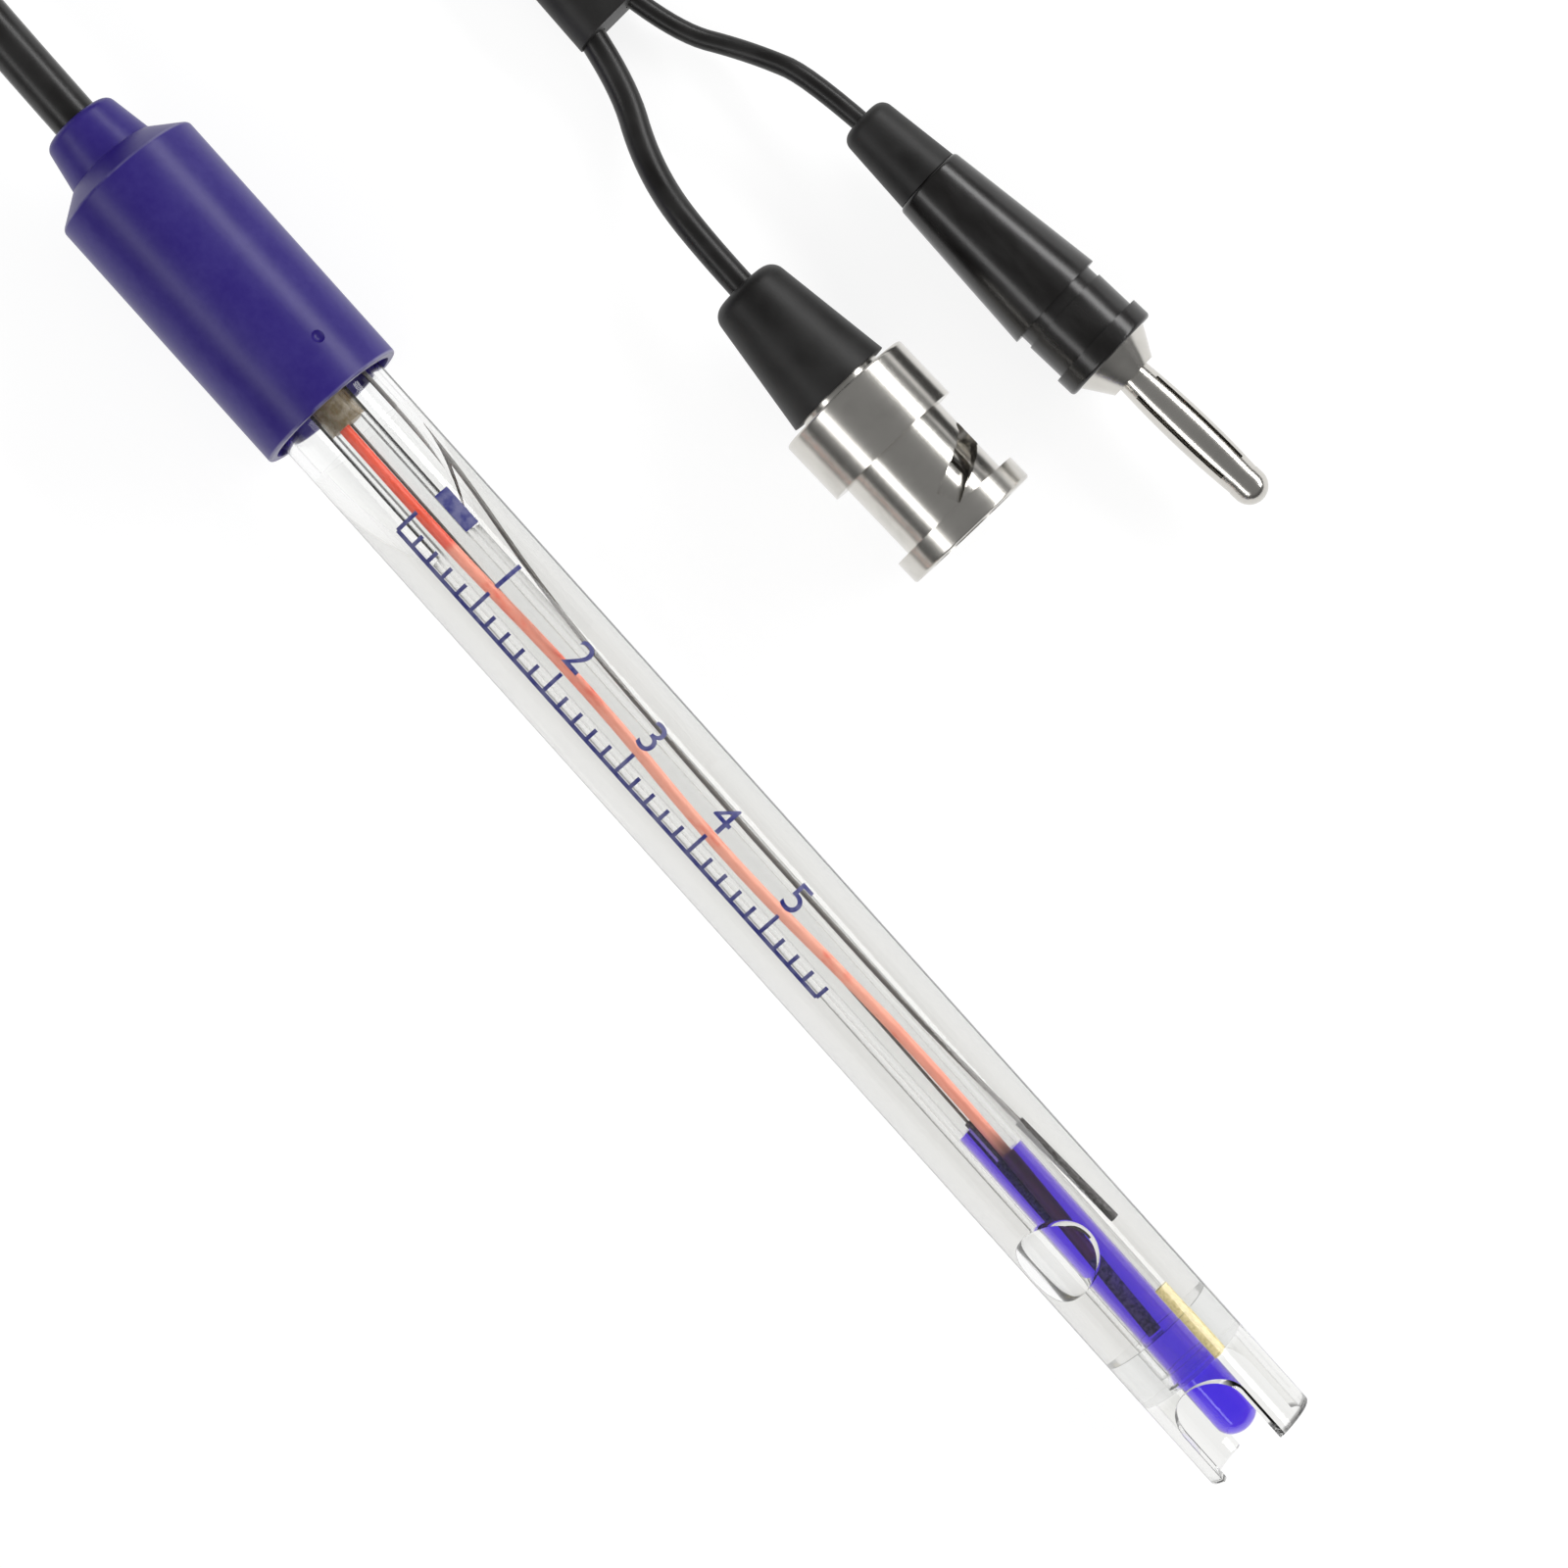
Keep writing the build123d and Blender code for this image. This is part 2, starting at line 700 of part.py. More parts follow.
# Cable routes, chosen by hand on the surface that the electrode lies on
cable_z = cable_r
coil_top_z = (2 * coil_layers - 1) * cable_r
coil_in_y = coil_y - coil_outer_turn_d / 2
coil_out_y = coil_y + coil_outer_turn_d / 2 - 0.8 * cable_d
splitter_z = splitter_tail_d / 2
splitter_place = Pos(splitter_x, splitter_y, splitter_z) * Rot(0, 0, splitter_heading)

cable_start_route = [
    on_electrode(cable_end_x),
    on_electrode(-cap_len - 4.8),
    (-104.6, 0.3, 6.3),
    (-118.8, -0.6, 2.95),
    (coil_x + 4.0, coil_in_y, cable_z),
]
cable_end_route = [
    (coil_x + 4.0, coil_out_y, coil_top_z),
    (-122.0, 57.9, 7.0),
    (-104.5, 53.0, 4.3),
    (-87.0, 46.3, cable_z + 0.1),
    on_plug(splitter_place, splitter_grip - splitter_len),
]
coax_route = [
    on_plug(splitter_place * Pos(0, -lead_side, 0), -lead_grip),
    (-53.2, 41.2, 1.9),
    (-45.0, 37.2, 3.2),
    on_plug(bnc_place, -5.5),
    on_plug(bnc_place, bnc_lead_in),
]
thin_route = [
    on_plug(splitter_place * Pos(0, lead_side, 0), -lead_grip),
    (-53.4, 47.5, 1.5),
    (-46.8, 51.8, 2.1),
    on_plug(banana_place, -5.0),
    on_plug(banana_place, banana_boot_len + banana_lead_in),
]

coil_h = coil_layers * cable_d + coil_looseness
coil_hole_r = coil_inner_turn_d / 2 - cable_r
coil_outer_r = coil_outer_turn_d / 2 + cable_r + coil_looseness
cable_coil = ring(0, coil_h, coil_hole_r, coil_outer_r)
cable_coil = Pos(coil_x, coil_y, 0) * Rot(0, -90, 0) * cable_coil

cable_start = tube_along(cable_start_route, cable_d) - cable_coil
cable_end = tube_along(cable_end_route, cable_d) - cable_coil
coax_lead = tube_along(coax_route, coax_d)
thin_lead = tube_along(thin_route, thin_lead_d)

# The splitter runs from a nearly round tail to a flat head, with both leads side by side
tail = Plane.YZ * SlotOverall(splitter_tail_w, splitter_tail_d)
head = Plane.YZ.offset(splitter_len) * SlotOverall(splitter_head_w, splitter_head_h)
splitter = loft([tail, head])
splitter = fillet(splitter.faces().sort_by(Axis.X)[0].edges(), splitter_round)
splitter = splitter_place * Pos(-splitter_len, 0, 0) * splitter
splitter = splitter - cable_end - coax_lead - thin_lead

laid.update({name: bnc_place * shape for name, shape in bnc_parts.items()})
laid.update({name: banana_place * shape for name, shape in banana_parts.items()})
for boot in ("bnc_boot", "banana_boot", "banana_handle"):
    laid[boot] = laid[boot] - coax_lead - thin_lead
laid.update(
    {
        "cable_start": cable_start,
        "cable_coil": cable_coil,
        "cable_end": cable_end,
        "splitter": splitter,
        "coax_lead": coax_lead,
        "thin_lead": thin_lead,
    }
)

os.makedirs("parts", exist_ok=True)
for name, shape in laid.items():
    solids = shape.solids()
    export_step(Compound(solids) if len(solids) > 1 else solids[0], f"parts/{name}.step")

routes = {
    "cable_start": (cable_start_route, cable_d),
    "cable_end": (cable_end_route, cable_d),
    "coax_lead": (coax_route, coax_d),
    "thin_lead": (thin_route, thin_lead_d),
    "sensor_lead": (sensor_lead_route, sensor_lead_d),
    "inner_wire": (inner_wire_route, inner_wire_d),
    "reference_wire": (reference_wire_route, reference_wire_d),
}
for name, (points, diameter) in routes.items():
    radii = [round(radius / diameter, 1) for radius in corner_radii(points)]
    path = FilletPolyline(*points, radius=corner_radii(points))
    section = pi * diameter**2 / 4
    print(name, "length", round(path.length, 1), "radii in diameters", radii)
    print("   volume over section times length", round(laid[name].volume / section / path.length, 3))
    print("   points", [tuple(round(value, 2) for value in point) for point in points])
print("tip down", round(tip_down, 3), "electrode centre", round(centre_x, 3), round(centre_y, 3))
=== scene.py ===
from math import cos, pi, radians, sin

import bmesh
import bpy
from mathutils import Matrix, Vector


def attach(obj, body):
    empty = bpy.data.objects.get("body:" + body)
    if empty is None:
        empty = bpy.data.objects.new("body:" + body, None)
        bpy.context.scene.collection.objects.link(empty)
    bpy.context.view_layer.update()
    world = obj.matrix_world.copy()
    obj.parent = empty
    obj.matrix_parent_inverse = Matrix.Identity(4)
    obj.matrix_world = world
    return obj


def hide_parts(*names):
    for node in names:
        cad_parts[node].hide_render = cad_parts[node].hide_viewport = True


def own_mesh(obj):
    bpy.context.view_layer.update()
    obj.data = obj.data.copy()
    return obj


bl_info = {
    "name": "Glass Electrode",
    "version": (1, 0, 0),
    "blender": (4, 5, 0),
    "location": "View3D > Sidebar > Electrode",
    "description": "Dresses a glass electrode with its cable and plugs, and lights it on a white table",
    "category": "Object",
}

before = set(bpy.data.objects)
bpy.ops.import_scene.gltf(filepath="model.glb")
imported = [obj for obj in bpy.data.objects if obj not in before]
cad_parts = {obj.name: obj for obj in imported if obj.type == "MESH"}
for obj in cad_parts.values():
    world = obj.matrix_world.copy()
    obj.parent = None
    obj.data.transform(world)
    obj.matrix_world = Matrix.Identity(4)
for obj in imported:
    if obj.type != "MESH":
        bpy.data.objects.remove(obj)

# The electrode's own axis: it starts at the cap's lower rim, runs to the tip and dips a little
AXIS_START = Vector((-0.047263, 0.0, 0.0077991))
AXIS_DIP = radians(0.847)
LYING = Matrix.Translation(AXIS_START) @ Matrix.Rotation(AXIS_DIP, 4, "Y")

# Places along the electrode's axis, in metres from the cap's lower rim
SHOULDER = -0.0287
GEL_SURFACE = 0.0175
BUFFER_TOP = 0.0925
GUARD_START = 0.1209
TUBE_END = 0.1302
TUBE_RADIUS = 0.006

# The printed scale: where its line runs on the tube, its ticks and its strokes, in metres
SCALE_START = 0.013
SCALE_END = 0.071
SCALE_SIDE = -0.0032
SCALE_TICKS = 30
LONG_TICK_EVERY = 5
NUMERAL_SIDE = 0.0016
NUMERAL_HEIGHT = 0.0032
INK_THICKNESS = 0.00004
WRAP_CUT = 0.0004

# The plugs lie level, each turned a little on the table
BNC_TAIL = Vector((-0.0302, 0.036, 0.00725))
BNC_HEADING = radians(1.7)
# The bayonet plug's spring: the flange it leans on, and what is left of it when the sleeve is pushed home
BANANA_TAIL = Vector((-0.0346, 0.0551, 0.0052))
BANANA_HEADING = radians(4.7)


def srgb(red, green, blue):
    """A colour as it looks on screen, 0 to 255, turned into Blender's linear values."""
    return tuple(((value / 255 + 0.055) / 1.055) ** 2.4 for value in (red, green, blue))


def colour_property(name, description, default):
    return bpy.props.FloatVectorProperty(
        name=name, description=description, subtype="COLOR", size=3, min=0, max=1, default=default
    )


def length_property(name, description, default):
    return bpy.props.FloatProperty(
        name=name, description=description, default=default, min=0, unit="LENGTH", precision=5
    )


class ElectrodeColours(bpy.types.PropertyGroup):
    """Colours of the electrode's pieces."""

    cap: colour_property("Cap", "Moulded plastic of the head cap", srgb(42, 25, 121))
    gel: colour_property("Gel", "What is left of white light through the reference gel", (0.54, 0.51, 0.45))
    buffer: colour_property("Buffer", "What is left of white light through the buffer", (0.3, 0.045, 0.95))
    sensor_lead: colour_property("Sensor lead", "Insulation of the lead in the stem", srgb(214, 58, 4))
    resin: colour_property("Resin", "Potting in the cap and in the stem", srgb(152, 126, 70))
    jacket: colour_property("Jacket", "Jacket of the cable and of its leads", srgb(15, 13, 12))
    print_blue: colour_property("Print", "Printed scale on the tube", srgb(12, 20, 116))


class ElectrodeSizes(bpy.types.PropertyGroup):
    """Sizes of the cable and its leads, and how far the liquids reach into what holds them."""

    cable: length_property("Cable", "Diameter of the cable", 0.0046)
    coax_lead: length_property("Coaxial lead", "Diameter of the lead to the bayonet plug", 0.0028)
    thin_lead: length_property("Thin lead", "Diameter of the lead to the banana plug", 0.002)
    coil_outer: length_property("Outer turn", "Radius of the coil's outer turn", 0.0323)
    coil_inner: length_property("Inner turn", "Radius of the coil's inner turn", 0.0182)
    wetting: length_property("Wetting", "How far a liquid's surface lies inside the wall it wets", 0.00003)


class ElectrodeStage(bpy.types.PropertyGroup):
    """The camera over the table, and the lights beside it."""

    lens: bpy.props.FloatProperty(
        name="Lens", description="Focal length in millimetres", default=105.4, min=10
    )
    height: length_property("Height", "Height of the camera over the table", 0.437)
    roll: bpy.props.FloatProperty(
        name="Roll", description="Turn of the camera", default=radians(48.13), subtype="ANGLE"
    )
    soft_light: bpy.props.FloatProperty(
        name="Soft light", description="Strength of the sky", default=0.6, min=0
    )
    side_light: bpy.props.FloatProperty(
        name="Side light", description="Power of the softbox by the plugs", default=4.5, min=0, unit="POWER"
    )
    fill_light: bpy.props.FloatProperty(
        name="Fill light", description="Power of the far softbox", default=2.0, min=0, unit="POWER"
    )


class Socket:
    """A number on its way through a node tree. Arithmetic on it adds Math nodes."""

    def __init__(self, tree, socket):
        self.tree = tree
        self.socket = socket

    def maths(self, operation, *values):
        node = add_node(self.tree, "ShaderNodeMath", {"operation": operation}, dict(enumerate(values)))
        return Socket(self.tree, node.outputs[0])

    def __add__(self, other):
        return self.maths("ADD", self, other)

    def __sub__(self, other):
        return self.maths("SUBTRACT", self, other)

    def __rsub__(self, other):
        return self.maths("SUBTRACT", other, self)

    def __mul__(self, other):
        return self.maths("MULTIPLY", self, other)

    def __truediv__(self, other):
        return self.maths("DIVIDE", self, other)

    def __pow__(self, other):
        return self.maths("POWER", self, other)

    __radd__ = __add__
    __rmul__ = __mul__

    def larger(self, other):
        return self.maths("MAXIMUM", self, other)

    def distance(self):
        return self.maths("ABSOLUTE", self)

    def step(self, low, high):
        """0 below low, 1 above high and smooth in between. High may be the lower one."""
        inputs = {"Value": self, "From Min": low, "From Max": high}
        node = add_node(self.tree, "ShaderNodeMapRange", {"interpolation_type": "SMOOTHSTEP"}, inputs)
        return Socket(self.tree, node.outputs["Result"])


def add_node(tree, kind, settings=None, inputs=None):
    """One node: its settings are set first, then the values or links of its sockets."""
    node = tree.nodes.new(kind)
    for name, value in (settings or {}).items():
        setattr(node, name, value)
    for name, value in (inputs or {}).items():
        if isinstance(value, Socket):
            tree.links.new(value.socket, node.inputs[name])
        elif isinstance(value, bpy.types.NodeSocket):
            tree.links.new(value, node.inputs[name])
        else:
            node.inputs[name].default_value = value
    return node


class Finish:
    """A material and the few kinds of pattern that its maker needs."""

    def __init__(self, name, **constants):
        self.material = bpy.data.materials.new(name)
        self.material.use_nodes = True
        self.tree = self.material.node_tree
        self.shader = self.tree.nodes["Principled BSDF"]
        self.output = self.tree.nodes["Material Output"]
        self.surface = self.shader.outputs[0]
        self.place = self.node("ShaderNodeTexCoord").outputs["Object"]
        for socket, value in constants.items():
            self.shader.inputs[socket.replace("_", " ")].default_value = value

    def node(self, kind, settings=None, **inputs):
        spaced = {name.replace("_", " "): value for name, value in inputs.items()}
        return add_node(self.tree, kind, settings, spaced)

    def along(self, start, heading, dip=0.0):
        """Coordinates that start at a piece's own point and run along its own axis."""
        mapping = self.node(
            "ShaderNodeMapping",
            {"vector_type": "TEXTURE"},
            Vector=self.place,
            Location=start,
            Rotation=(0.0, dip, heading),
        )
        self.place = mapping.outputs["Vector"]
        parts = self.node("ShaderNodeSeparateXYZ", Vector=self.place)
        return [Socket(self.tree, parts.outputs[axis]) for axis in "XYZ"]

    def noise(self, scale, detail=3.0, roughness=0.5, stretch=(1.0, 1.0, 1.0)):
        stretched = self.node("ShaderNodeMapping", Vector=self.place, Scale=stretch).outputs["Vector"]
        node = self.node(
            "ShaderNodeTexNoise", Vector=stretched, Scale=scale, Detail=detail, Roughness=roughness
        )
        return Socket(self.tree, node.outputs["Fac"])

    def mix(self, factor, first, second):
        """A colour between two others."""
        node = add_node(
            self.tree,
            "ShaderNodeMix",
            {"data_type": "RGBA"},
            {"Factor": factor, 6: (*first, 1.0) if isinstance(first, tuple) else first, 7: (*second, 1.0)},
        )
        return node.outputs[2]

    def bump(self, height, depth, strength=1.0):
        node = self.node("ShaderNodeBump", Height=height, Distance=depth, Strength=strength)
        self.link(node.outputs["Normal"], "Normal")

    def link(self, value, socket):
        source = value.socket if isinstance(value, Socket) else value
        self.tree.links.new(source, self.shader.inputs[socket])

    def layer(self, factor, shader):
        """Lays another shader over the surface where the factor is above 0."""
        mixed = add_node(self.tree, "ShaderNodeMixShader", None, {0: factor, 1: self.surface, 2: shader})
        self.surface = mixed.outputs[0]
        self.tree.links.new(self.surface, self.output.inputs["Surface"])

    def cover(self, factor, colour):
        self.layer(factor, self.node("ShaderNodeBsdfDiffuse", Color=(*colour, 1.0)).outputs[0])

    def edge(self, start, end):
        """1 where the surface is seen edge-on."""
        weight = self.node("ShaderNodeLayerWeight", Blend=0.5)
        return Socket(self.tree, weight.outputs["Facing"]).step(start, end)

    def let_light_in(self):
        """Lets lamps reach what lies inside, as real glass does by bending their light."""
        shadow = Socket(self.tree, self.node("ShaderNodeLightPath").outputs["Is Shadow Ray"])
        self.layer(shadow, self.node("ShaderNodeBsdfTransparent").outputs[0])

    def radial(self, y, z):
        """How far the surface faces away from the axis, 1 on a round side and 0 on a cut."""
        normal = self.node("ShaderNodeNewGeometry").outputs["Normal"]
        parts = self.node("ShaderNodeSeparateXYZ", Vector=normal).outputs
        across, up = Socket(self.tree, parts["Y"]), Socket(self.tree, parts["Z"])
        return ((across * y + up * z) / (y * y + z * z) ** 0.5).distance()

    def absorbs(self, colour, density):
        volume = self.node("ShaderNodeVolumeAbsorption", Color=(*colour, 1.0), Density=density)
        self.tree.links.new(volume.outputs[0], self.output.inputs["Volume"])


def lighter(colour, amount):
    return tuple(value + (1 - value) * amount for value in colour)


def darker(colour, amount):
    return tuple(value * (1 - amount) for value in colour)


def violet_plastic(colour):
    """Satin moulded plastic, cloudy, with patchy painted highlight lines along its lower rim and its
    shoulder edge.
    """
    finish = Finish("violet_plastic", Roughness=0.4, IOR=1.5, Specular_IOR_Level=0.35)
    x, _, _ = finish.along(AXIS_START, 0.0, AXIS_DIP)
    cloudy = finish.noise(160.0, 4.0, 0.55)
    speckled = finish.noise(1400.0, 2.0, 0.6)
    tone = (cloudy * 0.7 + speckled * 0.3).step(0.3, 0.75)
    body = finish.mix(tone, darker(colour, 0.1), lighter(colour, 0.015))
    # Painted highlight: a pale line at the lower rim and a fainter one at the shoulder edge, broken up by
    # the cloudy pattern
    rim = x.step(-0.00035, -0.0001) + (x - SHOULDER).distance().step(0.0002, 0.00005) * 0.6
    finish.link(finish.mix(rim * cloudy.step(0.3, 0.6) * 0.5, body, lighter(colour, 0.45)), "Base Color")
    finish.link(0.34 + cloudy * 0.08, "Roughness")
    finish.bump(speckled * 0.4 + cloudy * 0.6, 0.00005, 0.35)
    return finish.material


def black_jacket(name, colour, roughness=0.34):
    """Soft black plastic with a fine skin."""
    finish = Finish(name, Roughness=roughness, IOR=1.5, Specular_IOR_Level=0.4)
    skin = finish.noise(2500.0, 3.0, 0.6)
    patches = finish.noise(180.0, 3.0, 0.5)
    finish.link(finish.mix(patches.step(0.35, 0.7), colour, lighter(colour, 0.012)), "Base Color")
    finish.link(roughness - 0.06 + patches * 0.12, "Roughness")
    finish.bump(skin, 0.00003, 0.3)
    return finish.material


def hard_plastic(name, colour):
    """Glossy moulded plastic with faint flow marks."""
    finish = Finish(name, Roughness=0.25, IOR=1.5)
    flow = finish.noise(220.0, 3.0, 0.55, (1.0, 3.0, 3.0))
    finish.link(finish.mix(flow.step(0.35, 0.7), colour, lighter(colour, 0.008)), "Base Color")
    finish.link(0.24 + flow * 0.05, "Roughness")
    finish.bump(finish.noise(1800.0, 2.0), 0.00002, 0.25)
    return finish.material


def clear_wall(name, ior, waviness, guard_shade=0.0):
    """Clear plastic or glass, slightly wavy along its length, with painted shade that greys it round the
    guard by the given amount.
    """
    finish = Finish(name, Roughness=0.0, IOR=ior, Transmission_Weight=1.0, Specular_IOR_Level=0.15)
    parts = finish.along(AXIS_START, 0.0, AXIS_DIP)
    waves = finish.noise(90.0, 2.0, 0.4, (1.0, 2.5, 2.5))
    clear = finish.mix(waves, (0.985, 0.99, 0.985), (1.0, 1.0, 1.0))
    # Painted shade: the wall round the guard is greyed by the amount given
    guard = parts[0].step(GUARD_START - 0.0006, GUARD_START + 0.0006)
    finish.link(finish.mix(guard * guard_shade, clear, (0.9, 0.9, 0.885)), "Base Color")
    finish.bump(waves, waviness, 0.5)
    return finish, parts


def tube_plastic():
    """The clear body, with painted shade at its edges, a painted highlight and painted shade on the cut
    faces round the guard, and a painted dark band by its end.
    """
    finish, (x, y, z) = clear_wall("clear_tube", 1.36, 0.00002, 1.0)
    cut = finish.radial(y, z).step(0.6, 0.3) * x.step(GUARD_START - 0.0002, GUARD_START + 0.0002)
    # Painted shade along the edges where the tube is seen edge-on
    finish.cover(finish.edge(0.8, 1.0) * (1.0 - cut) * 0.5, (0.1, 0.1, 0.1))
    # Painted highlight on the guard's cut faces on the near side, and painted shade on those of the far
    # side
    near_side = y.step(-0.0042, -0.0034)
    finish.cover(cut * near_side * 0.9, (0.92, 0.92, 0.92))
    finish.cover(cut * (1.0 - near_side) * 0.45, (0.05, 0.05, 0.05))
    # Painted shade: a dark band near the tube's end, on one side of it
    end_face = x.step(TUBE_END - 0.0005, TUBE_END - 0.0003)
    finish.cover(end_face * y.step(0.0020, 0.0026) * 0.5, (0.05, 0.05, 0.05))
    finish.let_light_in()
    return finish.material


def stem_glass():
    """The stem's glass, with strong painted shade on its edges where air lies round it and faint painted
    shade where it stands in the gel.
    """
    finish, (x, _, _) = clear_wall("stem_glass", 1.42, 0.00001)
    in_gel = x.step(GEL_SURFACE - 0.001, GEL_SURFACE + 0.001)
    # Painted shade on the edges: strong above the gel, faint in it
    finish.cover(finish.edge(0.42, 0.6) * (1.0 - in_gel) * 0.85, (0.02, 0.02, 0.02))
    finish.cover(finish.edge(0.5, 0.8) * in_gel * 0.25, (0.1, 0.1, 0.1))
    finish.let_light_in()
    return finish.material


def membrane_glass():
    finish, _ = clear_wall("membrane_glass", 1.45, 0.00001)
    finish.let_light_in()
    return finish.material


def clear_liquid(name, ior, colour, density):
    """A liquid or gel that takes some colours out of the light, with faint streaks in its surface."""
    finish = Finish(name, Roughness=0.0, IOR=ior, Transmission_Weight=1.0, Specular_IOR_Level=0.15)
    streaks = finish.noise(120.0, 2.0, 0.5, (1.0, 2.0, 2.0))
    finish.link(finish.mix(streaks, (0.99, 0.99, 0.985), (1.0, 1.0, 1.0)), "Base Color")
    finish.absorbs(colour, density)
    finish.let_light_in()
    return finish.material


def potting_resin(colour):
    finish = Finish("potting_resin", Roughness=0.3, IOR=1.5)
    lumps = finish.noise(900.0, 4.0, 0.6)
    finish.link(finish.mix(lumps.step(0.3, 0.7), darker(colour, 0.35), lighter(colour, 0.25)), "Base Color")
    finish.link(0.25 + lumps * 0.2, "Roughness")
    finish.bump(lumps, 0.0001, 0.6)
    return finish.material


def lead_insulation(colour):
    """Thin coloured insulation, bleached where it lies in the gel's part of the stem."""
    finish = Finish("lead_insulation", Roughness=0.45, IOR=1.5)
    x, _, _ = finish.along(AXIS_START, 0.0, AXIS_DIP)
    worn = finish.noise(500.0, 3.0, 0.6, (0.4, 1.0, 1.0))
    bright = finish.mix(worn.step(0.4, 0.75), colour, lighter(colour, 0.05))
    in_gel = x.step(GEL_SURFACE - 0.0007, GEL_SURFACE + 0.0003)
    bleached = in_gel * 0.55 + x.step(0.03, 0.05) * x.step(0.085, 0.07) * 0.15
    length = finish.mix(bleached * worn.step(0.2, 0.45), bright, srgb(236, 180, 158))
    in_buffer = x.step(BUFFER_TOP - 0.002, BUFFER_TOP + 0.002)
    finish.link(finish.mix(in_buffer * 0.9, length, srgb(44, 26, 26)), "Base Color")
    finish.link(0.4 + worn * 0.15, "Roughness")
    finish.bump(worn, 0.00003, 0.4)
    return finish.material


def printed_ink(colour):
    """Thin ink on the tube, a little uneven."""
    finish = Finish("printed_ink", Roughness=0.5, IOR=1.5)
    uneven = finish.noise(900.0, 3.0, 0.6)
    finish.link(finish.mix(uneven.step(0.3, 0.7), colour, lighter(colour, 0.12)), "Base Color")
    finish.link(0.45 + uneven * 0.15, "Roughness")
    finish.bump(uneven, 0.00001, 0.3)
    return finish.material


def metal(name, colour, roughness, start=None, heading=0.0, grain=2400.0):
    """Bare or plated metal, with the fine marks that turning leaves."""
    finish = Finish(name, Roughness=roughness, Metallic=1.0)
    stretch = (1.0, 1.0, 1.0)
    if start is not None:
        finish.along(start, heading)
        stretch = (3.0, 0.15, 0.15)
    marks = finish.noise(grain, 3.0, 0.6, stretch)
    stains = finish.noise(260.0, 3.0, 0.5)
    finish.link(finish.mix(stains.step(0.4, 0.8), colour, darker(colour, 0.14)), "Base Color")
    finish.link(roughness - 0.04 + marks * 0.08 + stains * 0.04, "Roughness")
    finish.bump(marks, 0.000006, 0.35)
    return finish.material


def dull_coat(name, colour, grain=3000.0, depth=0.00003):
    """A rough, dull surface, such as a chloride coating, porous ceramic or rubber."""
    finish = Finish(name, Roughness=0.7, IOR=1.45)
    pores = finish.noise(grain, 4.0, 0.65)
    finish.link(finish.mix(pores.step(0.35, 0.65), darker(colour, 0.3), lighter(colour, 0.1)), "Base Color")
    finish.link(0.6 + pores * 0.25, "Roughness")
    finish.bump(pores, depth, 0.6)
    return finish.material


def dress(material, *names):
    for name in names:
        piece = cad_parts[name]
        piece.data.materials.clear()
        piece.data.materials.append(material)


def new_piece(name, data, material, body, *replaced):
    """A finished piece that stands for CAD nodes and moves with a body."""
    piece = bpy.data.objects.new(name, data)
    bpy.context.scene.collection.objects.link(piece)
    data.materials.append(material)
    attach(piece, body)
    if replaced:
        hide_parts(*replaced)
    return piece


def merged_copy(node, amount):
    """A CAD node's form as one closed mesh. A liquid is let out, so that it wets its wall without a gap."""
    form = bmesh.new()
    form.from_mesh(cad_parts[node].data)
    bmesh.ops.remove_doubles(form, verts=form.verts, dist=1e-7)
    form.normal_update()
    sharp = radians(35)
    for edge in form.edges:
        edge.smooth = edge.is_manifold and edge.calc_face_angle(0.0) < sharp
    for face in form.faces:
        face.smooth = True
    moves = [(vert, vert.normal * amount) for vert in form.verts]
    for vert, move in moves:
        vert.co += move
    data = bpy.data.meshes.new(node)
    form.to_mesh(data)
    form.free()
    return data


def cord_curve(name, points, diameter):
    """A cord's own line, from the points of its route in millimetres."""
    data = bpy.data.curves.new(name, "CURVE")
    data.dimensions = "3D"
    data.bevel_depth = diameter / 2
    data.bevel_resolution = 6
    data.resolution_u = 8
    data.use_fill_caps = True
    line = data.splines.new("NURBS")
    line.points.add(len(points) - 1)
    for point, place in zip(line.points, points):
        point.co = (*(value / 1000 for value in place), 1.0)
    line.order_u = 3
    line.use_endpoint_u = True
    return data


def flat_bar(form, x, y, length, width):
    """A thin bar of ink, lying flat and centred on a point. Lengths in metres."""
    place = Matrix.Translation((x, y, 0.0)) @ Matrix.Diagonal((length, width, INK_THICKNESS, 1.0))
    bmesh.ops.create_cube(form, size=1.0, matrix=place)


def flat_number(form, number, x, y, height):
    """A plain numeral of ink, lying flat and centred on a point."""
    data = bpy.data.curves.new("numeral", "FONT")
    data.body = str(number)
    data.size = height / 0.7
    data.extrude = INK_THICKNESS / 2
    data.align_x = "CENTER"
    data.align_y = "CENTER"
    numeral = bpy.data.objects.new("numeral", data)
    bpy.context.scene.collection.objects.link(numeral)
    bpy.context.view_layer.update()
    mesh = bpy.data.meshes.new_from_object(numeral.evaluated_get(bpy.context.evaluated_depsgraph_get()))
    mesh.transform(Matrix.Translation((x, y, 0.0)))
    form.from_mesh(mesh)
    bpy.data.objects.remove(numeral)
    bpy.data.curves.remove(data)
    bpy.data.meshes.remove(mesh)


def wrap_on_tube(form, radius):
    """Bends a flat print round the tube: y becomes the way round it, and z the height over its surface."""
    for step in range(-12, 13):
        everything = [*form.verts, *form.edges, *form.faces]
        bmesh.ops.bisect_plane(form, geom=everything, plane_co=(0, step * WRAP_CUT, 0), plane_no=(0, 1, 0))
    for vert in form.verts:
        angle = vert.co.y / radius
        reach = radius + vert.co.z
        vert.co = LYING @ Vector((vert.co.x, reach * sin(angle), reach * cos(angle)))
